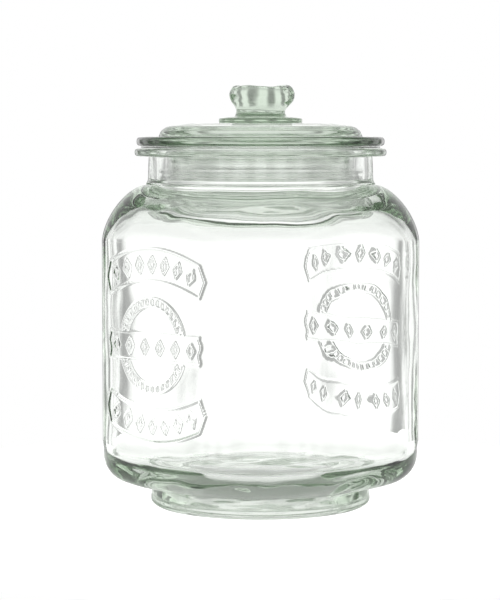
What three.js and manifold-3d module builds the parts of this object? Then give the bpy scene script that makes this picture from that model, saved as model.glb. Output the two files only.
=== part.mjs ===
// Glass counter jar for coins, with a lift-off lid.
//
// The jar is one blown piece of glass: a round foot ring, a square body with cut-off corners, a
// round shoulder and neck, and a flat rim. A clear seal ring is stretched over the plug of the
// pressed glass lid, and a knob is fused on the middle of the lid.
//
// Millimetres, +Z up. The origin is on the jar's axis, in the plane that the foot rests on.
// The two faces with a raised badge look along -Y and +Y.

import * as THREE from 'three';
import { mergeVertices } from 'three/addons/utils/BufferGeometryUtils.js';
import Module from 'manifold-3d';

const wasm = await Module();
wasm.setup();

// ---------- driving dimensions ----------

const ROUND_STEPS = 64;
const TOUCH_GAP = 0.3;

// Plan of the body, from the axis to the middle of a main face and of a corner face.
const MAIN_HALF = 108.3;
const CORNER_HALF = 116.8;
const PLAN_SHARPNESS = 16;
const WALL = 6;

// Foot ring and floor.
const FOOT_RADIUS = 81.5;
const FOOT_WAIST_RADIUS = 80;
const FOOT_CONTACT_INNER = 70;
const FOOT_CONTACT_OUTER = 77;
const RECESS_RADIUS = 67;
const RECESS_HEIGHT = 17;
const UNDERSIDE_Z = 16.5;
const FLOOR_Z = 28;

// Body, shoulder, neck and rim.
const BODY_BOTTOM_Z = 46;
const CORNER_FULLNESS = 2.8;
const BODY_TOP_Z = 195.2;
const SHOULDER_TOP_Z = 237.2;
const SHOULDER_FULLNESS = 1.62;
const INNER_SHOULDER_TOP_Z = 226;
const NECK_RADIUS = 83;
const NECK_TOP_RADIUS = 82.3;
const NECK_BORE_RADIUS = 76;
const RIM_RADIUS = 92.6;
const RIM_BOTTOM_Z = 257.2;
const RIM_TOP_Z = 263;

// Lid, seal and knob.
const LIP_THICKNESS = 1;
const LID_FLANGE_RADIUS = 91.2;
const LID_FLANGE_BOTTOM_Z = RIM_TOP_Z + LIP_THICKNESS + 2 * TOUCH_GAP;
const LID_FLANGE_TOP_Z = 271.4;
const LID_TOP_Z = 282;
const LID_GLASS = 7;
const PLUG_RADIUS = 67.5;
const PLUG_BOTTOM_Z = 239;
const PLUG_WALL = 6;
const SLEEVE_RADIUS = 69.7;
const SEAL_LIP_RADIUS = 88;
const SEAL_FIN_RADIUS = 75.6;
const SEAL_BOTTOM_Z = 239.5;
const SEAL_BAND_TOP_Z = 247;
const KNOB_DISC_RADIUS = 29.9;
const KNOB_DISC_TOP_Z = 285.4;
const KNOB_WAIST_RADIUS = 17;
const KNOB_WAIST_Z = 288.6;
const KNOB_RADIUS = 22.5;
const KNOB_WIDEST_Z = 300;
const KNOB_TOP_Z = 310;

// Raised badge on the front and back faces: three banners, and a coin behind the middle one.
const BADGE_HEIGHT = 0.9;
const BADGE_ROOT = 2;
const BANNER_HALF = 48;
const TOP_BANNER_Z = 171;
const MIDDLE_BANNER_Z = 123;
const BOTTOM_BANNER_Z = 77.8;
const ARCHED_BANNER_HEIGHT = 23;
const STRAIGHT_BANNER_HEIGHT = 19.5;
const BANNER_ARCH = 10.5;
const COIN_Z = 124;
const COIN_RADIUS = 34;
const COIN_EDGE = 6;

// ---------- colours ----------

function glassMaterial() {
  return new THREE.MeshStandardMaterial({ color: 0xdbe8df, roughness: 0.04, metalness: 0 });
}

function sealMaterial() {
  return new THREE.MeshStandardMaterial({ color: 0xe9eeec, roughness: 0.35, metalness: 0 });
}

// ---------- plan of the body ----------

// Distance from the axis to the wall: an eight-sided outline with softly rounded edges.
function planRadius(angle) {
  let sum = 0;
  for (let side = 0; side < 8; side += 1) {
    const half = side % 2 === 0 ? MAIN_HALF : CORNER_HALF;
    const facing = Math.max(0, Math.cos(angle - side * Math.PI / 4));
    sum += (facing / half) ** PLAN_SHARPNESS;
  }
  return sum ** (-1 / PLAN_SHARPNESS);
}

// Distance from the axis plane to the front or back face, at a place across it.
function faceDepth(across) {
  let depth = MAIN_HALF;
  for (let pass = 0; pass < 8; pass += 1) {
    const angle = Math.PI / 2 - Math.atan2(across, depth);
    depth = Math.sqrt(planRadius(angle) ** 2 - across ** 2);
  }
  return depth;
}

// ---------- rings: closed sections that a wall is lofted through ----------

// A ring is round where square is 0 and has the body's plan, less inset, where square is 1.
function ring(z, round, square = 0, inset = 0) {
  return { z, round, square, inset };
}

function ringPoint(section, step) {
  const angle = 2 * Math.PI * step / ROUND_STEPS;
  const shaped = planRadius(angle) - section.inset;
  const radius = section.round + (shaped - section.round) * section.square;
  return [radius * Math.cos(angle), radius * Math.sin(angle), section.z];
}

// Lofts a closed skin through the rings, with one centre point at each end on the axis.
function loft(sections, startZ, endZ) {
  const points = [0, 0, startZ];
  for (const section of sections) {
    for (let step = 0; step < ROUND_STEPS; step += 1) {
      points.push(...ringPoint(section, step));
    }
  }
  points.push(0, 0, endZ);

  const faces = [];
  const last = 1 + sections.length * ROUND_STEPS;
  for (let step = 0; step < ROUND_STEPS; step += 1) {
    const next = (step + 1) % ROUND_STEPS;
    faces.push(0, 1 + next, 1 + step);
    for (let row = 0; row < sections.length - 1; row += 1) {
      const near = 1 + row * ROUND_STEPS;
      const far = near + ROUND_STEPS;
      faces.push(near + step, near + next, far + next);
      faces.push(near + step, far + next, far + step);
    }
    faces.push(last, last - ROUND_STEPS + step, last - ROUND_STEPS + next);
  }

  const geometry = new THREE.BufferGeometry();
  geometry.setAttribute('position', new THREE.Float32BufferAttribute(points, 3));
  geometry.setIndex(faces);
  return geometry;
}

// ---------- booleans ----------

function toSolid(geometry) {
  const bare = geometry.clone();
  bare.deleteAttribute('normal');
  bare.deleteAttribute('uv');
  const merged = mergeVertices(bare, 1e-4);
  const mesh = new wasm.Mesh({
    numProp: 3,
    vertProperties: new Float32Array(merged.attributes.position.array),
    triVerts: new Uint32Array(merged.index.array),
  });
  return new wasm.Manifold(mesh);
}

function toGeometry(solid) {
  const mesh = solid.getMesh();
  const geometry = new THREE.BufferGeometry();
  geometry.setAttribute('position', new THREE.BufferAttribute(mesh.vertProperties, 3));
  geometry.setIndex(new THREE.BufferAttribute(mesh.triVerts, 1));
  return geometry;
}

// ---------- jar ----------

// The foot: up inside the recess, across the contact band and up the outside to the waist.
function footRings() {
  return [
    ring(RECESS_HEIGHT - 1, RECESS_RADIUS - 14),
    ring(RECESS_HEIGHT - 6, RECESS_RADIUS),
    ring(1.5, RECESS_RADIUS + 1),
    ring(0, FOOT_CONTACT_INNER),
    ring(0, FOOT_CONTACT_OUTER),
    ring(1.4, FOOT_RADIUS - 1.3),
    ring(5, FOOT_RADIUS),
    ring(UNDERSIDE_Z - 1.5, FOOT_WAIST_RADIUS),
  ];
}

// The turn from the foot's waist out to the wall, going up: fuller than a quarter circle.
function bottomCornerRings(startZ, round, inset, steps) {
  const rings = [];
  for (let step = 1; step <= steps; step += 1) {
    const turn = Math.PI / 2 * step / steps;
    const height = 1 - Math.cos(turn) ** (2 / CORNER_FULLNESS);
    const square = Math.sin(turn) ** (2 / CORNER_FULLNESS);
    rings.push(ring(startZ + (BODY_BOTTOM_Z - startZ) * height, round, square, inset));
  }
  return rings;
}

// The shoulder, from the straight wall up to the neck.
function shoulderRings(topZ, round, inset, steps) {
  const rings = [];
  for (let step = 0; step < steps; step += 1) {
    const turn = Math.PI / 2 * step / steps;
    const height = Math.sin(turn) ** (2 / SHOULDER_FULLNESS);
    const square = Math.cos(turn) ** (2 / SHOULDER_FULLNESS);
    rings.push(ring(BODY_TOP_Z + (topZ - BODY_TOP_Z) * height, round, square, inset));
  }
  return rings;
}

function neckAndRimRings() {
  return [
    ring(SHOULDER_TOP_Z + 0.3, NECK_RADIUS + 0.9),
    ring(SHOULDER_TOP_Z + 2.5, NECK_RADIUS),
    ring(RIM_BOTTOM_Z, NECK_TOP_RADIUS),
    ring(RIM_BOTTOM_Z, RIM_RADIUS - 1.4),
    ring(RIM_BOTTOM_Z + 1.4, RIM_RADIUS),
    ring(RIM_TOP_Z - 1.4, RIM_RADIUS),
    ring(RIM_TOP_Z, RIM_RADIUS - 1.4),
    ring(RIM_TOP_Z, NECK_BORE_RADIUS + 2),
    ring(RIM_TOP_Z - 2, NECK_BORE_RADIUS),
  ];
}

function jarGeometry() {
  const innerShoulder = shoulderRings(INNER_SHOULDER_TOP_Z, NECK_BORE_RADIUS, WALL, 7);
  const innerCorner = bottomCornerRings(FLOOR_Z, NECK_BORE_RADIUS - 4, WALL, 4);
  const sections = [
    ...footRings(),
    ...bottomCornerRings(UNDERSIDE_Z, FOOT_WAIST_RADIUS, 0, 5),
    ...shoulderRings(SHOULDER_TOP_Z, NECK_RADIUS, 0, 7),
    ...neckAndRimRings(),
    ring(SHOULDER_TOP_Z - 2, NECK_BORE_RADIUS),
    ...innerShoulder.reverse(),
    ...innerCorner.reverse(),
    ring(FLOOR_Z, NECK_BORE_RADIUS - 8),
    ring(FLOOR_Z - 0.8, 40),
  ];
  return loft(sections, RECESS_HEIGHT, FLOOR_Z - 1.2);
}

// ---------- raised badge ----------

// Builds a closed band between two rows of points [across, z] that follows the face.
// A band that closes on itself, such as a ring, joins its last column to its first.
function faceBand(lower, upper, closed) {
  const points = [];
  lower.forEach((low, column) => {
    for (const [across, z] of [low, upper[column]]) {
      const depth = faceDepth(across);
      points.push(across, -(depth - BADGE_ROOT), z);
      points.push(across, -(depth + BADGE_HEIGHT), z);
    }
  });

  const faces = [];
  const quad = (a, b, c, d) => faces.push(a, b, c, a, c, d);
  const columns = lower.length;
  const spans = closed ? columns : columns - 1;
  for (let column = 0; column < spans; column += 1) {
    const here = 4 * column;
    const next = 4 * ((column + 1) % columns);
    quad(here + 1, next + 1, next + 3, here + 3);
    quad(here + 2, next + 2, next, here);
    quad(here, next, next + 1, here + 1);
    quad(here + 3, next + 3, next + 2, here + 2);
  }
  if (!closed) {
    const end = 4 * (columns - 1);
    quad(0, 1, 3, 2);
    quad(end + 2, end + 3, end + 1, end);
  }

  const geometry = new THREE.BufferGeometry();
  geometry.setAttribute('position', new THREE.Float32BufferAttribute(points, 3));
  geometry.setIndex(faces);
  return geometry;
}

// A banner whose middle is raised (arch above 0) or lowered (arch below 0) from its ends.
function banner(endZ, height, arch) {
  const lower = [];
  const upper = [];
  const steps = 10;
  for (let step = 0; step <= steps; step += 1) {
    const part = 2 * step / steps - 1;
    const z = endZ + arch * (1 - part ** 2);
    lower.push([BANNER_HALF * part, z - height / 2]);
    upper.push([BANNER_HALF * part, z + height / 2]);
  }
  return faceBand(lower, upper, false);
}

// The raised edge of the coin. Its two rows run round the ring.
function coinRing() {
  const inner = [];
  const outer = [];
  const steps = 24;
  for (let step = 0; step < steps; step += 1) {
    const angle = -2 * Math.PI * step / steps;
    const across = Math.cos(angle);
    const up = Math.sin(angle);
    const innerRadius = COIN_RADIUS - COIN_EDGE;
    inner.push([innerRadius * across, COIN_Z + innerRadius * up]);
    outer.push([COIN_RADIUS * across, COIN_Z + COIN_RADIUS * up]);
  }
  return faceBand(inner, outer, true);
}

function badgeSolid() {
  const top = toSolid(banner(TOP_BANNER_Z, ARCHED_BANNER_HEIGHT, BANNER_ARCH));
  const middle = toSolid(banner(MIDDLE_BANNER_Z, STRAIGHT_BANNER_HEIGHT, 0));
  const bottom = toSolid(banner(BOTTOM_BANNER_Z, ARCHED_BANNER_HEIGHT, -BANNER_ARCH));
  const coin = toSolid(coinRing());
  return top.add(middle).add(bottom).add(coin);
}

function jarWithBadges() {
  const front = badgeSolid();
  const back = front.rotate([0, 0, 180]);
  const jar = toSolid(jarGeometry()).add(front).add(back);
  return toGeometry(jar);
}

// ---------- turned pieces ----------

// Turns a profile of [radius, z] points about the vertical axis.
function turned(profile) {
  const points = profile.map(([radius, z]) => new THREE.Vector2(radius, z));
  const geometry = new THREE.LatheGeometry(points, ROUND_STEPS);
  geometry.rotateX(Math.PI / 2);
  return geometry;
}

// The lid: plug, flange and low dome. The plug is open below, so the lid is a thick shell.
function lidGeometry() {
  const inside = PLUG_RADIUS - PLUG_WALL;
  const ceiling = LID_TOP_Z - LID_GLASS;
  return turned([
    [0, ceiling],
    [inside - 14, ceiling - 0.6],
    [inside - 4, ceiling - 3],
    [inside, ceiling - 8],
    [inside, PLUG_BOTTOM_Z + 2.2],
    [inside + 2, PLUG_BOTTOM_Z],
    [PLUG_RADIUS - 2, PLUG_BOTTOM_Z],
    [PLUG_RADIUS, PLUG_BOTTOM_Z + 2.2],
    [PLUG_RADIUS, LID_FLANGE_BOTTOM_Z],
    [LID_FLANGE_RADIUS - 2.4, LID_FLANGE_BOTTOM_Z],
    [LID_FLANGE_RADIUS - 0.7, LID_FLANGE_BOTTOM_Z + 1.2],
    [LID_FLANGE_RADIUS, (LID_FLANGE_BOTTOM_Z + LID_FLANGE_TOP_Z) / 2],
    [LID_FLANGE_RADIUS - 0.7, LID_FLANGE_TOP_Z - 1.2],
    [LID_FLANGE_RADIUS - 2.4, LID_FLANGE_TOP_Z],
    [76, LID_FLANGE_TOP_Z],
    [74.5, LID_FLANGE_TOP_Z + 2],
    [73, LID_TOP_Z - 5.8],
    [69.5, LID_TOP_Z - 2.9],
    [58, LID_TOP_Z - 0.8],
    [KNOB_DISC_RADIUS + 1, LID_TOP_Z],
    [0, LID_TOP_Z],
  ]);
}

// The knob: a disc where it was pressed on to the lid, a waist, and a wide dished head.
function knobGeometry() {
  const base = LID_TOP_Z + TOUCH_GAP;
  return turned([
    [0, base],
    [KNOB_DISC_RADIUS - 0.6, base],
    [KNOB_DISC_RADIUS, base + 1],
    [KNOB_DISC_RADIUS - 1, KNOB_DISC_TOP_Z - 0.8],
    [KNOB_DISC_RADIUS - 3.5, KNOB_DISC_TOP_Z],
    [KNOB_WAIST_RADIUS + 4, KNOB_DISC_TOP_Z + 0.4],
    [KNOB_WAIST_RADIUS + 1, KNOB_DISC_TOP_Z + 1.3],
    [KNOB_WAIST_RADIUS, KNOB_WAIST_Z],
    [KNOB_WAIST_RADIUS + 2.2, KNOB_WAIST_Z + 4],
    [KNOB_RADIUS - 1.2, KNOB_WIDEST_Z - 4],
    [KNOB_RADIUS, KNOB_WIDEST_Z],
    [KNOB_RADIUS - 0.9, KNOB_WIDEST_Z + 4],
    [KNOB_RADIUS - 4, KNOB_TOP_Z - 2.5],
    [KNOB_RADIUS - 8.5, KNOB_TOP_Z],
    [KNOB_RADIUS - 14, KNOB_TOP_Z - 0.9],
    [0, KNOB_TOP_Z - 1.6],
  ]);
}

// The seal ring: a lip between the two flanges, a sleeve on the plug and a band with two fins.
function sealGeometry() {
  const bore = PLUG_RADIUS + TOUCH_GAP;
  const lipBottom = RIM_TOP_Z + TOUCH_GAP;
  const lipTop = lipBottom + LIP_THICKNESS;
  const groove = SEAL_FIN_RADIUS - 3;
  return turned([
    [bore, SEAL_BOTTOM_Z],
    [SEAL_FIN_RADIUS, SEAL_BOTTOM_Z],
    [SEAL_FIN_RADIUS, SEAL_BOTTOM_Z + 1.6],
    [groove, SEAL_BOTTOM_Z + 2.2],
    [groove, SEAL_BAND_TOP_Z - 2.2],
    [SEAL_FIN_RADIUS, SEAL_BAND_TOP_Z - 1.6],
    [SEAL_FIN_RADIUS, SEAL_BAND_TOP_Z],
    [SLEEVE_RADIUS, SEAL_BAND_TOP_Z],
    [SLEEVE_RADIUS, lipBottom],
    [SEAL_LIP_RADIUS, lipBottom],
    [SEAL_LIP_RADIUS, lipTop],
    [bore, lipTop],
    [bore, SEAL_BOTTOM_Z],
  ]);
}

// ---------- assembly ----------

function piece(name, geometry, material) {
  const mesh = new THREE.Mesh(geometry, material);
  mesh.name = name;
  return mesh;
}

const jar = new THREE.Group();
jar.add(piece('jar_body', jarWithBadges(), glassMaterial()));

const seal = new THREE.Group();
seal.add(piece('seal_ring', sealGeometry(), sealMaterial()));
jar.add(seal);

const lid = new THREE.Group();
lid.add(piece('lid', lidGeometry(), glassMaterial()));
lid.add(piece('lid_knob', knobGeometry(), glassMaterial()));
seal.add(lid);

export default jar;
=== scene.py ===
# %% [markdown]
# # A glass jar for coins
# The object is a thick, pale green glass counter jar with a loose glass lid and a clear seal ring.
# Clear glass shows almost nothing of its own: what is seen is the room, bent by its two surfaces.
# So this lesson makes every wall with a real outside and a real inside, then builds a simple studio
# around them. The CAD frame gives the sizes and places, and its bodies carry the pieces.

# %% Load the frame
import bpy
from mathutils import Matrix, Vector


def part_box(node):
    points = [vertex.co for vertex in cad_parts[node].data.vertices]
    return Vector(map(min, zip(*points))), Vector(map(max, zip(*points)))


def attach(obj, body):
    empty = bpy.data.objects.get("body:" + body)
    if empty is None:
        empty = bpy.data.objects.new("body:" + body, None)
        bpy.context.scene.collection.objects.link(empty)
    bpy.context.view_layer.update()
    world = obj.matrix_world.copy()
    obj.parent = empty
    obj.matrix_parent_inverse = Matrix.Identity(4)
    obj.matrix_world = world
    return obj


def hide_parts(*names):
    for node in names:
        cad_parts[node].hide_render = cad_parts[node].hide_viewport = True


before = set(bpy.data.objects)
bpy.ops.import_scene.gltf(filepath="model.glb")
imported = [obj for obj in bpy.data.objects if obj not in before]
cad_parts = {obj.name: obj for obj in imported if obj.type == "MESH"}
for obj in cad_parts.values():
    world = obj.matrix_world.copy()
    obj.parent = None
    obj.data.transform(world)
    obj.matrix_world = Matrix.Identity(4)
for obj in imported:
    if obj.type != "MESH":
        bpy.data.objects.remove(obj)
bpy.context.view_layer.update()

# %% [markdown]
# ## Modules and units
# Blender measures in metres, but a jar is easier to draw in millimetres, so every size below is in
# millimetres and is multiplied by MM when it goes into a mesh.

# %% Modules and the scene's units
import math

import bmesh
import bpy
import numpy as np
from mathutils import Vector, noise

MM = 0.001
scene = bpy.context.scene
print("one millimetre is", MM, "Blender units")

# %% [markdown]
# ## Sizes from the frame
# The frame's boxes give the outer sizes of the four CAD pieces. The rest are the maker's own
# numbers: the radii of the foot, neck and mouth, and the thickness of the glass. They are written
# in millimetres, as on a drawing, and turned into metres when a mesh is made.

# %% Read the main sizes
jar_low, jar_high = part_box("jar_body")
lid_low, lid_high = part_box("lid")
knob_low, knob_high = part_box("lid_knob")
seal_low, seal_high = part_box("seal_ring")

MAIN_HALF = jar_high.x / MM
CORNER_HALF = MAIN_HALF + 8.5
RIM_TOP = jar_high.z / MM
RIM_RADIUS = 92.6
PLUG_BOTTOM = lid_low.z / MM
LID_RADIUS = lid_high.x / MM
LID_TOP = lid_high.z / MM
KNOB_TOP = knob_high.z / MM
KNOB_DISC = knob_high.x / MM
SEAL_BOTTOM = seal_low.z / MM
SEAL_TOP = seal_high.z / MM
SEAL_LIP = seal_high.x / MM
print("rim at", round(RIM_TOP, 1), "mm, lid top at", round(LID_TOP, 1), "mm")

# %% [markdown]
# ## A drawn outline with rounded corners
# Glass has no sharp edges: every corner melts into a small radius. An outline here is a short list
# of corners, each with its own radius. The helper cuts each corner off and puts a smooth curve in
# its place, and then splits long straight runs so that the glass can be made a little wavy later.

# %% Round the corners of an outline
def rounded(corners, turn_steps=5, longest=6.0):
    """Turns [radius, z, corner radius] corners into a smooth list of (radius, z) points."""
    points = [Vector(corners[0][:2])]
    for before, corner, after in zip(corners, corners[1:], corners[2:]):
        here = Vector(corner[:2])
        back = Vector(before[:2]) - here
        ahead = Vector(after[:2]) - here
        half_turn = back.angle(ahead) / 2
        reach = corner[2] / max(math.tan(half_turn), 0.05)
        reach = min(reach, back.length * 0.48, ahead.length * 0.48)
        start = here + back.normalized() * reach
        end = here + ahead.normalized() * reach
        for step in range(turn_steps + 1):
            t = step / turn_steps
            points.append(start * (1 - t) ** 2 + here * 2 * t * (1 - t) + end * t * t)
    points.append(Vector(corners[-1][:2]))
    return split_long(points, longest)


def split_long(points, longest):
    """Adds points so that no step along the outline is longer than the given length."""
    result = [points[0]]
    for before, after in zip(points, points[1:]):
        pieces = max(1, math.ceil((after - before).length / longest))
        for piece in range(1, pieces + 1):
            result.append(before.lerp(after, piece / pieces))
    return [(point.x, point.y) for point in result]


print(len(rounded([(0, 0, 0), (10, 0, 2), (10, 10, 0)])), "points round one corner")

# %% [markdown]
# ## The plan of the body
# From above, the body is a square with cut-off corners, and all eight edges are soft. One formula
# gives that shape: each of the eight sides pulls the wall in by how much it faces a direction, and a
# high power makes the nearest side win while still rounding the edge where two sides meet.
# A section of the jar is then a mixture: 0 is a plain circle and 1 is the eight-sided plan.

# %% The plan and the sections
SIDES = 8
SHARPNESS = 16


def plan_radius(angle):
    """Distance in mm from the axis to the outside of the body, at an angle in radians."""
    total = np.zeros_like(angle)
    for side in range(SIDES):
        half = MAIN_HALF if side % 2 == 0 else CORNER_HALF
        facing = np.maximum(0, np.cos(angle - side * 2 * math.pi / SIDES))
        total += (facing / half) ** SHARPNESS
    return total ** (-1 / SHARPNESS)


def section(z, round_radius, square=0.0, inset=0.0):
    """One closed section of a piece: its height, circle, share of the plan, and inset from it."""
    return (z, round_radius, square, inset)


def from_outline(outline):
    return [section(z, radius) for radius, z in outline]


corner_now = plan_radius(np.array([math.pi / 4]))[0]
print("across the flats", round(2 * MAIN_HALF, 1), "and corners", round(2 * corner_now, 1), "mm")

# %% [markdown]
# ## Skinning the sections
# A lathe can only make round things, and this jar is round at the foot and neck but eight-sided
# between them. So each piece is a stack of sections with the same number of points, and quads join
# each section to the next. The first and last sections close on a single point on the axis.

# %% Make a closed skin through sections
def skin(name, sections, steps, ends=None):
    """Builds a closed mesh through the sections. ends gives the heights of the two points on the
    axis that close it; without them the last section joins the first, as in a seal ring."""
    angles = np.arange(steps) * 2 * math.pi / steps
    plan = plan_radius(angles)
    points = []
    for z, round_radius, square, inset in sections:
        radius = round_radius + (plan - inset - round_radius) * square
        for r, a in zip(radius, angles):
            points.append((r * math.cos(a) * MM, r * math.sin(a) * MM, z * MM))

    faces = []
    rows = len(sections)
    joined = rows - 1 if ends else rows
    for step in range(steps):
        after = (step + 1) % steps
        for row in range(joined):
            near = row * steps
            far = (row + 1) % rows * steps
            faces.append((near + step, near + after, far + after, far + step))
    if ends:
        first = len(points)
        last_row = first - steps
        points += [(0, 0, ends[0] * MM), (0, 0, ends[1] * MM)]
        for step in range(steps):
            after = (step + 1) % steps
            faces.append((first, after, step))
            faces.append((first + 1, last_row + step, last_row + after))

    mesh = bpy.data.meshes.new(name)
    mesh.from_pydata(points, [], faces)
    mesh.shade_smooth()
    made = bpy.data.objects.new(name, mesh)
    scene.collection.objects.link(made)
    return made


def triangle_count(made):
    return sum(len(face.vertices) - 2 for face in made.data.polygons)


print("skin() is ready")

# %% [markdown]
# ## The jar's outside
# The outline starts in the hollow under the foot, crosses the band that touches the table and goes
# up the foot. Then the wall swells out to the eight-sided body in a full, boxy turn, runs straight,
# closes over the shoulder and ends at the flat rim.

# %% Sections of the outside
WALL = 6.0
FOOT_WAIST = 80.0
UNDERSIDE = 16.5
BODY_BOTTOM = 46.0
CORNER_FULLNESS = 2.8
BODY_TOP = 195.2
SHOULDER_TOP = 237.2
SHOULDER_FULLNESS = 1.62
NECK = 83.0
BORE = 76.0
RIM_BOTTOM = RIM_TOP - 5.8
ROW_HEIGHT = 3.8

foot = rounded([
    (4, 17.3, 0), (59, 16.4, 9), (68, 5.0, 5), (69.5, 0, 1.2), (77.5, 0, 3.5),
    (81.6, 2.6, 4), (81.3, 7.5, 4), (80.1, 15.6, 2.5), (80.4, 16.4, 0),
])


def swell(start_z, round_radius, inset, steps):
    """The turn from the foot's waist, or the floor, out to the wall."""
    rows = []
    for step in range(1, steps + 1):
        turn = math.pi / 2 * step / steps
        height = 1 - math.cos(turn) ** (2 / CORNER_FULLNESS)
        square = math.sin(turn) ** (2 / CORNER_FULLNESS)
        rows.append(section(start_z + (BODY_BOTTOM - start_z) * height, round_radius, square, inset))
    return rows


def shoulder(top_z, round_radius, inset, steps):
    """The turn from the wall in to the neck, a fuller curve than a quarter circle."""
    rows = []
    for step in range(steps):
        turn = math.pi / 2 * step / steps
        height = math.sin(turn) ** (2 / SHOULDER_FULLNESS)
        square = math.cos(turn) ** (2 / SHOULDER_FULLNESS)
        rows.append(section(BODY_TOP + (top_z - BODY_TOP) * height, round_radius, square, inset))
    return rows


def straight_wall(low, high, spacing, inset):
    count = round((high - low) / spacing)
    heights = np.linspace(low, high, count + 1)[1:-1]
    return [section(z, NECK, 1.0, inset) for z in heights]


neck_and_rim = rounded([
    (84.4, 237.0, 0), (83.0, 239.6, 3), (82.3, RIM_BOTTOM, 0.5), (RIM_RADIUS, RIM_BOTTOM, 2.7),
    (RIM_RADIUS, RIM_TOP, 2.7), (BORE, RIM_TOP, 2.4), (BORE, SHOULDER_TOP - 2, 0),
], longest=4.0)

outside = (
    from_outline(foot)
    + swell(UNDERSIDE, FOOT_WAIST, 0, 18)
    + straight_wall(BODY_BOTTOM, BODY_TOP, ROW_HEIGHT, 0)
    + shoulder(SHOULDER_TOP, NECK, 0, 24)
    + from_outline(neck_and_rim)
)
print(len(outside), "sections outside and over the rim")

# %% [markdown]
# ## The jar's inside
# The inside follows the outside about 6 mm in. The glass is thicker in the floor, where the molten
# gather settled, and under the neck, where the mould pinched it. The list runs down from the neck, so
# that the skin is one closed surface.

# %% Sections of the inside, and the blank
FLOOR = 28.0
FLOOR_DISH = 0.02
INNER_SHOULDER_TOP = 226.0

inside = [section(z, BORE) for z in np.arange(SHOULDER_TOP - 4, INNER_SHOULDER_TOP, -2.0)]
inside += shoulder(INNER_SHOULDER_TOP, BORE, WALL, 24)[::-1]
inside += straight_wall(BODY_BOTTOM, BODY_TOP, 6.0, WALL)[::-1]
inside += swell(FLOOR, BORE - 4, WALL, 14)[::-1]
inside += [section(FLOOR - FLOOR_DISH * (70 - r), r) for r in np.arange(69.6, 3, -2.6)]

JAR_STEPS = 176
jar = skin("jar_glass", outside + inside, JAR_STEPS, ends=(17.4, FLOOR - 1.5))
print("blank jar:", triangle_count(jar), "triangles")

# %% [markdown]
# ## Waves in the glass
# A jar is blown into an iron mould. The mould makes the outside smooth, but nothing touches the
# inside, so it keeps slow waves, which are strongest where the glass is thick: in the floor and just
# under the neck. They are what make the streaks that are seen there. Round the neck they lie in
# flat rings. The points of the inside are moved by a smooth noise, which is the same on every run,
# and the hollow under the foot and the turn above it take a small share of the same waves.

# %% Move the glass by a slow noise
def ripple(point, size, seed):
    """Smooth noise from about -0.5 to 0.5 that changes over the given size in mm."""
    return noise.noise(point / (size * MM) + Vector((seed, seed, seed)))


WALL_WAVE = 0.6
FLOOR_WAVE = 2.8
NECK_WAVE = 0.9
WAVE_SIZE = 34.0
STREAK_SIZE = 20.0
LINE_HEIGHT = 5.5
UNDERSIDE_SHARE = 0.2
UNDERSIDE_ROWS = 14


def wave_rows(made, first_row, sections, steps, share=1.0):
    """Moves the points of these sections. share scales the waves of the thick glass."""
    for row, (z, _, square, _) in enumerate(sections):
        thick = share * (1 - square ** (3 if z < BODY_BOTTOM else 1))
        for step in range(steps):
            vertex = made.data.vertices[(first_row + row) * steps + step]
            slow = ripple(vertex.co, WAVE_SIZE, 3.1)
            out = Vector((vertex.co.x, vertex.co.y, 0)).normalized()
            side_move = slow * WALL_WAVE * square ** 2
            if z < BODY_BOTTOM:
                streak = ripple(vertex.co, STREAK_SIZE, 8.7)
                lift = (slow * 0.4 + streak * 0.6) * FLOOR_WAVE * thick
            else:
                flat_place = vertex.co * LINE_HEIGHT / WAVE_SIZE
                flat_place.z = vertex.co.z
                lift = ripple(flat_place, LINE_HEIGHT, 6.3) * NECK_WAVE * thick
            vertex.co += out * side_move * MM + Vector((0, 0, lift * MM))


wave_rows(jar, len(outside), inside, JAR_STEPS)
recess_rows = [row for row in outside if row[1] < 58 and row[0] > 10]
wave_rows(jar, 0, recess_rows, JAR_STEPS, UNDERSIDE_SHARE)
underside_rows = outside[len(foot):len(foot) + UNDERSIDE_ROWS]
wave_rows(jar, len(foot), underside_rows, JAR_STEPS, UNDERSIDE_SHARE)
print("waves on", len(inside) + len(recess_rows) + len(underside_rows), "sections")

# %% [markdown]
# ## Finer skin where the badge will be
# The raised badge on the front and back needs much smaller faces than plain glass does. The blank is
# cut finer only there, and the new points are put back on the true curve of the wall, because
# cutting a flat face leaves them on its chord.

# %% Refine the two badge fields
FIELD_HALF = 55.0
FIELD_BOTTOM = 53.5
FIELD_TOP = 196.5
FIELD_CUTS = 4


def field_mask(places):
    """Which of these places, in metres, are on the outside of the front or back face."""
    x, y, z = (places / MM).T
    outer = np.hypot(x, y) > plan_radius(np.arctan2(y, x)) - WALL / 2
    between = (z > FIELD_BOTTOM) & (z < FIELD_TOP)
    return outer & between & (np.abs(x) < FIELD_HALF) & (np.abs(y) > MAIN_HALF - 12)


cells = bmesh.new()
cells.from_mesh(jar.data)
centres = np.array([face.calc_center_median() for face in cells.faces])
field_faces = [face for face, inside_it in zip(cells.faces, field_mask(centres)) if inside_it]
field_edges = list({edge for face in field_faces for edge in face.edges})
bmesh.ops.subdivide_edges(cells, edges=field_edges, cuts=FIELD_CUTS, use_grid_fill=True)
cells.to_mesh(jar.data)
cells.free()

places = np.array([vertex.co for vertex in jar.data.vertices])
in_field = field_mask(places)
field_angle = np.arctan2(places[in_field, 1], places[in_field, 0])
field_radius = plan_radius(field_angle) * MM
places[in_field, 0] = field_radius * np.cos(field_angle)
places[in_field, 1] = field_radius * np.sin(field_angle)
jar.data.vertices.foreach_set("co", places.ravel())
mark = jar.data.attributes.new("badge_field", "FLOAT", "POINT")
mark.data.foreach_set("value", in_field.astype(float))
jar.data.shade_smooth()
print("refined", len(field_faces), "cells; jar now", triangle_count(jar), "triangles")

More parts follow.
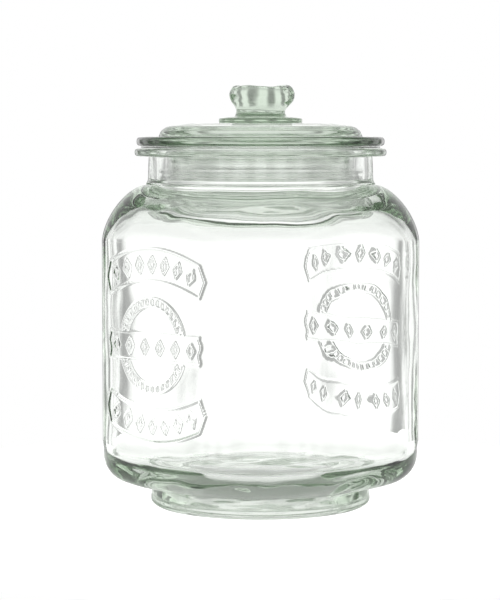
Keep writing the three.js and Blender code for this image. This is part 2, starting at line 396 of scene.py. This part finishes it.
# %% [markdown]
# ## Drawing the badge
# The badge has three banners, with a large coin behind the middle one. It is drawn flat first, as
# lines in the plane of the face, with across on X and height on Z. The banners are drawn here, since
# each has its own outline. Their ends come to a blunt point, and the straight one is nicked.

# %% Banner outlines
BANNER_HALF = 46.5
BANNER_POINT = 4.5
BADGE_MIDDLE = 124.0
TOP_BANNER = (171.0, 22.8, 10.6)
MIDDLE_BANNER = (122.8, 19.4, 0.0)
BOTTOM_BANNER = (77.6, 23.6, -10.4)


def banner_outline(end_z, height, arch, point, nick):
    """Closed outline of one banner, as (across, height from the badge's middle) in mm."""
    columns = np.linspace(-BANNER_HALF, BANNER_HALF, 41)
    middle = end_z - BADGE_MIDDLE + arch * (1 - (columns / BANNER_HALF) ** 2)
    lower = list(zip(columns, middle - height / 2))
    upper = list(zip(columns[::-1], middle[::-1] + height / 2))
    ends = np.linspace(-1, 1, 13)[1:-1]
    bulge = point * (1 - np.abs(ends)) + nick * np.sin(ends * math.pi * 1.5)
    tip = middle[0] + ends * height / 2
    right = list(zip(BANNER_HALF + bulge, tip))
    left = [(-across, up) for across, up in right[::-1]]
    return lower + right + upper + left


drawing = bpy.data.meshes.new("banner_drawing")
line_points = []
line_edges = []
for banner in (
    banner_outline(*TOP_BANNER, BANNER_POINT, 0.0),
    banner_outline(*MIDDLE_BANNER, 0.6, 0.9),
    banner_outline(*BOTTOM_BANNER, BANNER_POINT, 0.0),
):
    first = len(line_points)
    count = len(banner)
    line_points += [(across * MM, 0, up * MM) for across, up in banner]
    line_edges += [(first + i, first + (i + 1) % count) for i in range(count)]
drawing.from_pydata(line_points, line_edges, [])
banner_lines = bpy.data.objects.new("banner_drawing", drawing)
scene.collection.objects.link(banner_lines)
print(len(line_points), "points in the banner outlines")

# %% [markdown]
# ## Geometry Nodes: helpers
# A node tree is a small machine: sockets go in, geometry comes out. These helpers keep the wiring
# readable. A number goes straight on to a socket, and a socket is linked.

# %% Node helpers
def feed(tree, socket, value):
    """Puts a number on a socket, or links another node's output to it."""
    if isinstance(value, bpy.types.NodeSocket):
        tree.links.new(value, socket)
    else:
        socket.default_value = value


def add_node(tree, kind, values=None, **settings):
    """Adds a node, sets its own settings, and feeds its inputs by name or number."""
    made = tree.nodes.new(kind)
    for key, value in settings.items():
        setattr(made, key, value)
    for key, value in (values or {}).items():
        feed(tree, made.inputs[key], value)
    return made


def calc(tree, operation, *values):
    """One Math node; its result socket comes back."""
    return add_node(
        tree, "ShaderNodeMath", dict(enumerate(values)), operation=operation
    ).outputs[0]


def vector_of(tree, x, y, z):
    return add_node(tree, "ShaderNodeCombineXYZ", {"X": x, "Y": y, "Z": z}).outputs[0]


print("node helpers ready")

# %% [markdown]
# ## Geometry Nodes: the beads and the coin's milled edge
# What repeats on the badge is left to a node tree. A row of lozenge beads sits in each banner, turned
# to follow its arch. The coin has two rings and a milled edge of short ribs, set out round a circle.
# Where the middle banner crosses the coin, the coin's lines are deleted, so it seems to lie behind.
# The tree only draws lines. The next cell turns lines into relief.

# %% Tree parts for the drawing
def bead_row(tree, count, end_z, arch, width, height):
    """Lozenges in a row across one banner, as curves in the plane of the badge."""
    reach = BANNER_HALF * 0.84
    line = add_node(tree, "GeometryNodeMeshLine", {
        "Count": count,
        "Start Location": (-reach * MM, 0, 0),
        "Offset": (reach * MM, 0, 0),
    }, mode="END_POINTS")
    place = add_node(tree, "GeometryNodeInputPosition").outputs[0]
    across = add_node(tree, "ShaderNodeSeparateXYZ", {0: place}).outputs["X"]
    part = calc(tree, "DIVIDE", across, BANNER_HALF * MM)
    drop = calc(tree, "MULTIPLY", calc(tree, "MULTIPLY", part, part), -arch * MM)
    up = calc(tree, "ADD", drop, (end_z + arch - BADGE_MIDDLE) * MM)
    bent = add_node(tree, "GeometryNodeSetPosition", {
        "Geometry": line.outputs[0],
        "Position": vector_of(tree, across, 0.0, up),
    })
    slope = calc(tree, "MULTIPLY", part, -2 * arch / BANNER_HALF)
    lean = calc(tree, "MULTIPLY", calc(tree, "ARCTANGENT", slope), -1.0)
    lozenge = add_node(tree, "GeometryNodeCurvePrimitiveQuadrilateral", {
        "Width": width * MM, "Bottom Height": height / 2 * MM, "Top Height": height / 2 * MM,
    }, mode="KITE")
    upright = add_node(tree, "GeometryNodeTransform", {
        "Geometry": lozenge.outputs[0], "Rotation": (math.pi / 2, 0, 0),
    })
    return add_node(tree, "GeometryNodeInstanceOnPoints", {
        "Points": bent.outputs[0],
        "Instance": upright.outputs[0],
        "Rotation": vector_of(tree, 0.0, lean, 0.0),
    }).outputs[0]


def coin_ring(tree, radius):
    circle = add_node(tree, "GeometryNodeCurvePrimitiveCircle", {
        "Resolution": 180, "Radius": radius,
    })
    return add_node(tree, "GeometryNodeTransform", {
        "Geometry": circle.outputs[0], "Rotation": (math.pi / 2, 0, 0),
    }).outputs[0]


def milled_edge(tree, count, outer, inner):
    """Short ribs between two circles, each turned to point at the middle."""
    rib = add_node(tree, "GeometryNodeCurvePrimitiveLine", {
        "Start": vector_of(tree, inner, 0.0, 0.0),
        "End": vector_of(tree, outer, 0.0, 0.0),
    })
    centre = add_node(tree, "GeometryNodeMeshLine", {"Count": count, "Offset": (0, 0, 0)})
    index = add_node(tree, "GeometryNodeInputIndex").outputs[0]
    turn = calc(tree, "DIVIDE", calc(tree, "MULTIPLY", index, 2 * math.pi), count)
    return add_node(tree, "GeometryNodeInstanceOnPoints", {
        "Points": centre.outputs[0],
        "Instance": rib.outputs[0],
        "Rotation": vector_of(tree, 0.0, turn, 0.0),
    }).outputs[0]


print("drawing parts ready")

# %% [markdown]
# ## Geometry Nodes: from lines to relief
# For every point of the badge field the tree asks how far the nearest drawn line is. Close to a line
# the glass is pushed outwards, and the push fades smoothly to nothing over the ridge's flank. This
# gives the soft shoulders of moulded glass, which a boolean of sharp bars would not. The back face
# uses the same drawing, turned round so that it also reads the right way from outside.

# %% Build the emboss tree
RIDGE_HEIGHT = 0.55
RIDGE_TOP = 0.35
RIDGE_FOOT = 1.25
COIN_RADIUS = 34.0
COIN_INNER = 28.0

emboss = bpy.data.node_groups.new("emboss_badge", "GeometryNodeTree")
emboss_inputs = {}
for label, kind in (
    ("Geometry", "NodeSocketGeometry"), ("Banners", "NodeSocketObject"),
    ("Beads", "NodeSocketInt"), ("Ribs", "NodeSocketInt"), ("Coin Radius", "NodeSocketFloat"),
    ("Ridge Height", "NodeSocketFloat"), ("Glass", "NodeSocketMaterial"),
):
    made = emboss.interface.new_socket(label, in_out="INPUT", socket_type=kind)
    emboss_inputs[label] = made.identifier
emboss.interface.new_socket("Geometry", in_out="OUTPUT", socket_type="NodeSocketGeometry")
entry = emboss.nodes.new("NodeGroupInput").outputs

coin_inner = calc(emboss, "MULTIPLY", entry["Coin Radius"], COIN_INNER / COIN_RADIUS)
rib_outer = calc(emboss, "SUBTRACT", entry["Coin Radius"], 1.6 * MM)
rib_inner = calc(emboss, "ADD", coin_inner, 1.6 * MM)
coin_parts = add_node(emboss, "GeometryNodeJoinGeometry")
for part in (
    coin_ring(emboss, entry["Coin Radius"]),
    coin_ring(emboss, coin_inner),
    milled_edge(emboss, entry["Ribs"], rib_outer, rib_inner),
):
    emboss.links.new(part, coin_parts.inputs[0])
coin_real = add_node(emboss, "GeometryNodeRealizeInstances", {0: coin_parts.outputs[0]})
coin_mesh = add_node(emboss, "GeometryNodeCurveToMesh", {"Curve": coin_real.outputs[0]})
line_place = add_node(emboss, "GeometryNodeInputPosition").outputs[0]
line_up = add_node(emboss, "ShaderNodeSeparateXYZ", {0: line_place}).outputs["Z"]
banner_offset = MIDDLE_BANNER[0] - BADGE_MIDDLE
from_banner = calc(emboss, "ABSOLUTE", calc(emboss, "SUBTRACT", line_up, banner_offset * MM))
hidden = calc(emboss, "LESS_THAN", from_banner, (MIDDLE_BANNER[1] / 2 + 0.4) * MM)
coin_behind = add_node(emboss, "GeometryNodeDeleteGeometry", {
    "Geometry": coin_mesh.outputs[0], "Selection": hidden,
}, domain="POINT")

fewer_beads = calc(emboss, "SUBTRACT", entry["Beads"], 1.0)
bead_parts = add_node(emboss, "GeometryNodeJoinGeometry")
for row in (
    bead_row(emboss, entry["Beads"], TOP_BANNER[0], TOP_BANNER[2], 6.6, 11.0),
    bead_row(emboss, fewer_beads, MIDDLE_BANNER[0], 0.0, 6.6, 10.0),
    bead_row(emboss, entry["Beads"], BOTTOM_BANNER[0], BOTTOM_BANNER[2], 6.6, 11.0),
):
    emboss.links.new(row, bead_parts.inputs[0])
bead_real = add_node(emboss, "GeometryNodeRealizeInstances", {0: bead_parts.outputs[0]})
bead_mesh = add_node(emboss, "GeometryNodeCurveToMesh", {"Curve": bead_real.outputs[0]})
banner_info = add_node(emboss, "GeometryNodeObjectInfo", {"Object": entry["Banners"]})
all_lines = add_node(emboss, "GeometryNodeJoinGeometry")
for part in (banner_info.outputs["Geometry"], coin_behind.outputs[0], bead_mesh.outputs[0]):
    emboss.links.new(part, all_lines.inputs[0])

place = add_node(emboss, "GeometryNodeInputPosition").outputs[0]
axes = add_node(emboss, "ShaderNodeSeparateXYZ", {0: place}).outputs
face_side = calc(emboss, "SIGN", axes["Y"])
flat_across = calc(emboss, "MULTIPLY", calc(emboss, "MULTIPLY", axes["X"], face_side), -1.0)
flat_up = calc(emboss, "SUBTRACT", axes["Z"], BADGE_MIDDLE * MM)
nearest = add_node(emboss, "GeometryNodeProximity", {
    "Geometry": all_lines.outputs[0],
    "Sample Position": vector_of(emboss, flat_across, 0.0, flat_up),
}, target_element="EDGES")
push = add_node(emboss, "ShaderNodeMapRange", {
    "Value": nearest.outputs["Distance"],
    "From Min": RIDGE_TOP * MM, "From Max": RIDGE_FOOT * MM,
    "To Min": entry["Ridge Height"], "To Max": 0.0,
}, interpolation_type="SMOOTHSTEP")
field_mark = add_node(emboss, "GeometryNodeInputNamedAttribute", {"Name": "badge_field"})
raised = add_node(emboss, "GeometryNodeSetPosition", {
    "Geometry": entry["Geometry"],
    "Selection": calc(emboss, "GREATER_THAN", field_mark.outputs["Attribute"], 0.5),
    "Offset": vector_of(
        emboss, 0.0, calc(emboss, "MULTIPLY", push.outputs["Result"], face_side), 0.0
    ),
})
realized = add_node(emboss, "GeometryNodeRealizeInstances", {0: raised.outputs[0]})
finished = add_node(emboss, "GeometryNodeSetMaterial", {
    "Geometry": realized.outputs[0], "Material": entry["Glass"],
})
emboss_exit = emboss.nodes.new("NodeGroupOutput")
emboss.links.new(finished.outputs[0], emboss_exit.inputs[0])
print("emboss tree has", len(emboss.nodes), "nodes")

# %% [markdown]
# ## The glass
# Real glass like this is clear across a thin wall and green along a long path, because iron in the
# melt takes a little light in every centimetre. So the surface has no colour, and the colour is in
# the volume: absorption, set so that light comes out of a hand's breadth of glass a soft green. The
# lid comes from a greener melt than the jar, so one recipe makes both, with its own strength for
# each. The skin of blown glass is not quite even, so the gloss changes slightly and a faint bump
# bends reflections.

# %% The glass material
def new_material(name):
    material = bpy.data.materials.new(name)
    material.use_nodes = True
    material.node_tree.nodes.clear()
    return material


def object_noise(tree, scale, detail):
    """Noise that sits in the piece, in metres, so that it moves with it."""
    place = add_node(tree, "ShaderNodeTexCoord").outputs["Object"]
    return add_node(tree, "ShaderNodeTexNoise", {
        "Vector": place, "Scale": scale, "Detail": detail,
    }).outputs["Fac"]


def varied(tree, source, low, high):
    """Spreads a noise between two values."""
    return add_node(tree, "ShaderNodeMapRange", {
        "Value": source, "From Min": 0.3, "From Max": 0.7, "To Min": low, "To Max": high,
    }).outputs["Result"]


GLASS_KEEPS = (0.27, 0.45, 0.24, 1.0)
JAR_STRENGTH = 9.5
LID_STRENGTH = 17.5


def make_glass(name, strength):
    material = new_material(name)
    tree = material.node_tree
    skin_waves = add_node(tree, "ShaderNodeBump", {
        "Height": object_noise(tree, 38.0, 1.0), "Strength": 0.25, "Distance": 0.0012,
    })
    surface = add_node(tree, "ShaderNodeBsdfPrincipled", {
        "Base Color": (1.0, 1.0, 1.0, 1.0),
        "Roughness": varied(tree, object_noise(tree, 22.0, 3.0), 0.0, 0.025),
        "IOR": 1.52,
        "Transmission Weight": 1.0,
        "Normal": skin_waves.outputs[0],
    })
    volume = add_node(tree, "ShaderNodeVolumeAbsorption", {
        "Color": GLASS_KEEPS, "Density": strength,
    })
    output = add_node(tree, "ShaderNodeOutputMaterial", {"Surface": surface.outputs[0]})
    tree.links.new(volume.outputs[0], output.inputs["Volume"])
    return material


glass = make_glass("pale_green_glass", JAR_STRENGTH)
lid_glass = make_glass("greener_lid_glass", LID_STRENGTH)
for made, strength in ((glass, JAR_STRENGTH), (lid_glass, LID_STRENGTH)):
    kept = [round(math.exp(-0.1 * strength * (1 - part)), 2) for part in GLASS_KEEPS[:3]]
    print(made.name, "lets through", kept, "of red, green and blue in 100 mm")

# %% [markdown]
# ## Emboss the jar
# The tree runs as a modifier. Its inputs are set by the identifiers of its sockets before it is first
# evaluated. Then the result is made a plain mesh, and the modifier and the drawing are removed.

# %% Run the emboss tree on the jar
BEADS_IN_ARCH = 7
RIBS_ON_COIN = 36

emboss_run = jar.modifiers.new("emboss_badge", "NODES")
emboss_run.node_group = emboss
for label, value in (
    ("Banners", banner_lines), ("Beads", BEADS_IN_ARCH), ("Ribs", RIBS_ON_COIN),
    ("Coin Radius", COIN_RADIUS * MM), ("Ridge Height", RIDGE_HEIGHT * MM), ("Glass", glass),
):
    emboss_run[emboss_inputs[label]] = value


def bake_modifiers(made):
    """Swaps a piece's mesh for its evaluated one and removes its modifiers."""
    shaped = made.evaluated_get(bpy.context.evaluated_depsgraph_get())
    result = bpy.data.meshes.new_from_object(shaped)
    made.modifiers.clear()
    made.data = result


bake_modifiers(jar)
bpy.data.objects.remove(banner_lines)
print("the jar's material is", jar.data.materials[0].name)
raised_by = max(vertex.co.y for vertex in jar.data.vertices) / MM - MAIN_HALF
print("embossed jar:", triangle_count(jar), "triangles; badge stands", round(raised_by, 2), "mm proud")

# %% [markdown]
# ## The lid and its knob
# The lid is pressed in one piece: a hollow plug that centres it in the neck, a flange with a round
# edge and a low dome. The knob is a second gather of hot glass, pressed on the middle of the dome
# and pulled to shape. Fused glass has no surface inside, so the two are one closed skin here, and it
# stands for both CAD nodes.

# %% The lid's outline
PLUG = 67.5
PLUG_BORE = 61.5
CEILING = LID_TOP - 7
FLANGE_BOTTOM = RIM_TOP + 1.6
FLANGE_TOP = 271.4
KNOB_WAIST = 17.0
KNOB_WIDE = 22.5

lid_outline = rounded([
    (3, CEILING, 0), (57, CEILING - 1, 14), (PLUG_BORE, PLUG_BOTTOM + 12, 20),
    (PLUG_BORE, PLUG_BOTTOM, 2.6), (PLUG, PLUG_BOTTOM, 2.6), (PLUG, FLANGE_BOTTOM, 0.8),
    (LID_RADIUS, FLANGE_BOTTOM, 3.4), (LID_RADIUS, FLANGE_TOP, 3.4), (75.2, FLANGE_TOP, 1.2),
    (73.2, LID_TOP - 6.2, 4), (69.5, LID_TOP - 3.1, 8), (57, LID_TOP - 0.9, 14),
    (KNOB_DISC + 0.8, LID_TOP, 0.5),
    (KNOB_DISC + 0.8, LID_TOP + 2.9, 1.6), (KNOB_DISC - 5, LID_TOP + 3.9, 2.5),
    (KNOB_WAIST + 2.0, LID_TOP + 4.2, 2.2), (KNOB_WAIST + 0.5, LID_TOP + 8.4, 5),
    (KNOB_WIDE - 0.6, LID_TOP + 16.0, 6), (KNOB_WIDE + 0.4, LID_TOP + 21, 6),
    (KNOB_WIDE - 3.6, KNOB_TOP + 0.4, 6), (KNOB_WIDE - 12, KNOB_TOP - 0.4, 5),
    (2, KNOB_TOP - 2.2, 0),
], turn_steps=7, longest=3.2)

LID_STEPS = 160
lid = skin("lid_glass", from_outline(lid_outline), LID_STEPS, ends=(CEILING, KNOB_TOP - 2.2))
lid.data.materials.append(lid_glass)
print("lid:", triangle_count(lid), "triangles")

# %% [markdown]
# ## A hand-formed knob
# No tool turned this knob, so it is a little off: its head leans, it has two soft lobes and its top is
# dented between them, where it was let go. The points above the waist are moved by a noise, by the
# lobes and by a lean, and all three grow with height. The underside of the dome gets slow waves too.

# %% Shape the knob by hand
KNOB_START = LID_TOP + 6.0
KNOB_HEAD_HEIGHT = 12.0
KNOB_LUMPS = 2.4
KNOB_LOBES = 1.3
LOBES_AT = math.radians(45)
LOBE_OUT = 0.6
TOP_DENT = 1.4
TOP_LUMPS = 1.2
KNOB_LEAN = Vector((0.8, 0.8, 0))
CEILING_WAVE = 1.4


def fade_in(value, low, high):
    """Goes smoothly from 0 at low to 1 at high."""
    t = min(max((value - low) / (high - low), 0.0), 1.0)
    return t * t * (3 - 2 * t)


for vertex in lid.data.vertices:
    height = vertex.co.z / MM
    out = Vector((vertex.co.x, vertex.co.y, 0))
    head = fade_in(height, KNOB_START, KNOB_START + KNOB_HEAD_HEIGHT)
    if head > 0:
        lobe = math.cos(2 * (math.atan2(out.y, out.x) - LOBES_AT)) * KNOB_LOBES
        lump = ripple(vertex.co, 17.0, 21.4) * KNOB_LUMPS + lobe * LOBE_OUT
        vertex.co += (out.normalized() * lump + KNOB_LEAN) * head * MM
        lobe_share = min(out.length / (KNOB_WIDE * MM), 1.0)
        drop = (lobe - KNOB_LOBES) * lobe_share - KNOB_LOBES * TOP_DENT * (1 - lobe_share)
        vertex.co.z += (ripple(vertex.co, 12.0, 5.5) * TOP_LUMPS + drop) * MM * head
    elif abs(height - CEILING) < 3 and out.length < 56 * MM:
        vertex.co.z += ripple(vertex.co, 22.0, 14.2) * CEILING_WAVE * MM
top_now = max(vertex.co.z for vertex in lid.data.vertices) / MM
print("knob top at", round(top_now, 1), "mm, CAD", round(KNOB_TOP, 1))

# %% [markdown]
# ## The seal ring
# A soft clear ring is stretched over the plug. Its lip lies between the two flanges, its sleeve
# covers the plug, and its lower band has fins that press on the neck. It is one closed ring: the
# outline goes round the section and comes back to its start. Its clear rubber is a little cloudy, so
# it is less glossy than the glass, and grey where the light runs a long way inside the thin lip.

# %% The seal ring
SLEEVE = 69.7
FIN = 75.6
LIP_BOTTOM = RIM_TOP + 0.3
seal_bore = PLUG + 0.3

seal_outline = rounded([
    (seal_bore + 1, SEAL_BOTTOM, 0), (FIN - 1.6, SEAL_BOTTOM, 0.8), (FIN, SEAL_BOTTOM + 1.0, 0.7),
    (FIN - 0.6, SEAL_BOTTOM + 2.0, 0.6), (FIN - 3.2, SEAL_BOTTOM + 2.6, 0.6),
    (FIN - 3.2, SEAL_BOTTOM + 4.6, 0.6), (FIN, SEAL_BOTTOM + 5.4, 0.5),
    (FIN, SEAL_BOTTOM + 7.2, 0.6), (SLEEVE, SEAL_BOTTOM + 7.6, 0.8), (SLEEVE, LIP_BOTTOM, 0.8),
    (SEAL_LIP, LIP_BOTTOM, 0.45), (SEAL_LIP, SEAL_TOP, 0.45), (seal_bore, SEAL_TOP, 0.4),
    (seal_bore, SEAL_BOTTOM, 0.8), (seal_bore + 1, SEAL_BOTTOM, 0),
], turn_steps=3, longest=4.0)[:-1]

SEAL_KEEPS = (0.50, 0.52, 0.50, 1.0)
SEAL_STRENGTH = 14.0


def make_seal_material():
    material = new_material("clear_soft_seal")
    tree = material.node_tree
    grain = add_node(tree, "ShaderNodeBump", {
        "Height": object_noise(tree, 160.0, 2.0), "Strength": 0.2, "Distance": 0.0004,
    })
    surface = add_node(tree, "ShaderNodeBsdfPrincipled", {
        "Base Color": (0.99, 0.99, 0.99, 1.0),
        "Roughness": varied(tree, object_noise(tree, 60.0, 3.0), 0.06, 0.16),
        "IOR": 1.43,
        "Transmission Weight": 1.0,
        "Normal": grain.outputs[0],
    })
    volume = add_node(tree, "ShaderNodeVolumeAbsorption", {
        "Color": SEAL_KEEPS, "Density": SEAL_STRENGTH,
    })
    output = add_node(tree, "ShaderNodeOutputMaterial", {"Surface": surface.outputs[0]})
    tree.links.new(volume.outputs[0], output.inputs["Volume"])
    return material


SEAL_STEPS = 160
seal = skin("seal_ring_clear", from_outline(seal_outline), SEAL_STEPS)
seal.data.materials.append(make_seal_material())
print("seal ring:", triangle_count(seal), "triangles")

# %% [markdown]
# ## Join the pieces to the frame
# Each piece rides on its CAD body and takes the place of its CAD nodes.

# %% Ride on the bodies
for piece, body, slot, nodes in (
    (jar, "jar", "glass", ["jar_body"]),
    (lid, "lid", "glass", ["lid", "lid_knob"]),
    (seal, "seal", "seal", ["seal_ring"]),
):
    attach(piece, body)
    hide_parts(*nodes)
    print(piece.name, "rides on", body)

# %% [markdown]
# ## The table
# The jar stands on a small round table of white acrylic. It is not part of the object.

# %% The table top
TABLE_RADIUS = 0.36
TABLE_STEPS = 96

table_mesh = bpy.data.meshes.new("table_top")
table_edge = [
    (TABLE_RADIUS * math.cos(turn), TABLE_RADIUS * math.sin(turn), 0)
    for turn in np.arange(TABLE_STEPS) * 2 * math.pi / TABLE_STEPS
]
table_mesh.from_pydata(table_edge, [], [tuple(range(TABLE_STEPS))])
table = bpy.data.objects.new("table_top", table_mesh)
scene.collection.objects.link(table)
print("table top of", TABLE_RADIUS, "m radius")

# %% [markdown]
# ## Light in the table, with painted shadow and brightening
# The acrylic glows as a light table does, as well as being lit from the room, which keeps the shadow
# round the foot faint. The pattern of its glow is painted: right under the foot a painted shadow makes
# it dimmer, and a painted brightening grows towards its edge, so that the edge hardly shows through
# the glass. Seen straight from the camera, a painted extra glow makes all of it brighter than in the
# glass.

# %% The table's glow, with a painted shadow and painted brightening
# painted shadow: the glow is dimmer in a disc right under the foot
SHADOW_GLOW = 0.20
MIDDLE_GLOW = 0.60
EDGE_GLOW = 0.90
SHADOW_EDGE = (0.055, 0.095)
# painted brightening of the glow towards the table's edge
GLOW_FROM = (0.12, 0.30)
# painted extra glow that only the camera sees
SEEN_GLOW = 0.8


def blend(tree, value, low, high, before, after):
    """Turns a value into a number that goes smoothly from before, at low, to after, at high."""
    return add_node(tree, "ShaderNodeMapRange", {
        "Value": value, "From Min": low, "From Max": high, "To Min": before, "To Max": after,
    }, interpolation_type="SMOOTHSTEP").outputs["Result"]


acrylic = new_material("acrylic_with_painted_glow")
lit = acrylic.node_tree
table_place = add_node(lit, "ShaderNodeTexCoord").outputs["Object"]
from_middle = add_node(lit, "ShaderNodeVectorMath", {0: table_place}, operation="LENGTH")
reach = from_middle.outputs["Value"]
# painted shadow under the foot, rising to the middle glow, then a painted brightening towards the edge
glow_with_painted_foot_shadow = blend(lit, reach, *SHADOW_EDGE, SHADOW_GLOW, MIDDLE_GLOW)
painted_edge_brightening = blend(lit, reach, *GLOW_FROM, 0.0, EDGE_GLOW - MIDDLE_GLOW)
glow = calc(lit, "ADD", glow_with_painted_foot_shadow, painted_edge_brightening)
# painted extra glow for camera rays only
direct = add_node(lit, "ShaderNodeLightPath").outputs["Is Camera Ray"]
acrylic_surface = add_node(lit, "ShaderNodeBsdfPrincipled", {
    "Base Color": (0.70, 0.70, 0.70, 1.0), "Roughness": 0.6, "Specular IOR Level": 0.2,
    "Emission Color": (1.0, 1.0, 1.0, 1.0),
    "Emission Strength": calc(lit, "ADD", glow, calc(lit, "MULTIPLY", direct, SEEN_GLOW)),
})
add_node(lit, "ShaderNodeOutputMaterial", {"Surface": acrylic_surface.outputs[0]})
table_mesh.materials.append(acrylic)
print("the table glows from", SHADOW_GLOW, "under the foot to", EDGE_GLOW, "at its edge")

# %% [markdown]
# ## The studio
# Clear glass shows the room, so the room is what has to be designed. A bright field behind it shines
# through, and something darker beside that field draws the edges and the raised lines. The room here
# is a ring of tall soft windows, with dim posts between them, so that the jar looks much the same
# from every side. Above the windows come a pale wall, a dim rail that draws a line in every sharp
# bend of the glass, and a soft ceiling light, and below them the ground. The camera itself sees plain
# white behind the object, as in a catalogue.

# %% The studio sky
VIEW_AZIMUTH = 45.0
WINDOWS = 16
WINDOW_LIGHT = 1.25
POST_LIGHT = 0.42
WINDOW_EDGES = (-0.9, 0.6)
LEVELS = [
    # what is there, the height in degrees where it starts and where it is full, its brightness
    ("wall above the windows", 0, 13, 1.05),
    ("dim rail", 27, 34, 0.42),
    ("ceiling light", 38, 52, 1.0),
    ("ground", -10, -24, 0.66),
]


def blend_to(tree, level, value, low, high, after):
    """Goes from one level to another number as the value passes from low to high."""
    part = blend(tree, value, low, high, 0.0, 1.0)
    change = calc(tree, "SUBTRACT", after, level)
    return calc(tree, "ADD", level, calc(tree, "MULTIPLY", change, part))


world = bpy.data.worlds.new("studio")
world.use_nodes = True
scene.world = world
sky = world.node_tree
sky.nodes.clear()
direction = add_node(sky, "ShaderNodeTexCoord").outputs["Generated"]
sky_axes = add_node(sky, "ShaderNodeSeparateXYZ", {0: direction}).outputs
turn = calc(sky, "ARCTAN2", sky_axes["X"], sky_axes["Y"])
turn = calc(sky, "ADD", turn, math.radians(VIEW_AZIMUTH))
stripes = calc(sky, "COSINE", calc(sky, "MULTIPLY", turn, float(WINDOWS)))
above = calc(sky, "ARCSINE", sky_axes["Z"])
level = blend(sky, stripes, *WINDOW_EDGES, POST_LIGHT, WINDOW_LIGHT)
for _, start, full, light in LEVELS:
    level = blend_to(sky, level, above, math.radians(start), math.radians(full), light)
studio = add_node(sky, "ShaderNodeBackground", {"Color": level, "Strength": 1.0})
plain = add_node(sky, "ShaderNodeBackground", {"Color": (1, 1, 1, 1), "Strength": 1.0})
seen = add_node(sky, "ShaderNodeLightPath").outputs["Is Camera Ray"]
chosen = add_node(sky, "ShaderNodeMixShader", {0: seen, 1: studio.outputs[0], 2: plain.outputs[0]})
add_node(sky, "ShaderNodeOutputWorld", {"Surface": chosen.outputs[0]})
print(WINDOWS, "soft windows round the jar")

# %% [markdown]
# ## The camera
# A long lens about 1.6 metres away, somewhat higher than the middle of the jar, keeps its sides
# nearly upright. It looks at a corner, so that both the front badge and, through the glass, the back
# one are seen. Light in thick glass is reflected inside many times before it comes out again, so the
# light paths may be long, or the edges would turn black.

# %% The camera and the light paths
CAMERA_DISTANCE = 1.626
CAMERA_HEIGHT = 0.2705
CAMERA_LENS = 132.2
AIM_HEIGHT = 0.151
AIM_ASIDE = -0.00775
MOST_BOUNCES = 64

azimuth = math.radians(VIEW_AZIMUTH)
toward = Vector((math.sin(azimuth), -math.cos(azimuth), 0))
aside = Vector((math.cos(azimuth), math.sin(azimuth), 0))
camera_data = bpy.data.cameras.new("camera")
camera_data.lens = CAMERA_LENS
camera_data.sensor_width = 36.0
camera_data.sensor_fit = "AUTO"
camera = bpy.data.objects.new("camera", camera_data)
scene.collection.objects.link(camera)
camera.location = toward * CAMERA_DISTANCE + Vector((0, 0, CAMERA_HEIGHT))
aim = aside * AIM_ASIDE + Vector((0, 0, AIM_HEIGHT))
camera.rotation_euler = (aim - camera.location).to_track_quat("-Z", "Y").to_euler()
scene.camera = camera
scene.view_settings.view_transform = "Standard"
scene.cycles.max_bounces = MOST_BOUNCES
scene.cycles.transmission_bounces = MOST_BOUNCES
scene.cycles.glossy_bounces = MOST_BOUNCES
print("camera", round(CAMERA_DISTANCE, 3), "m from the axis")
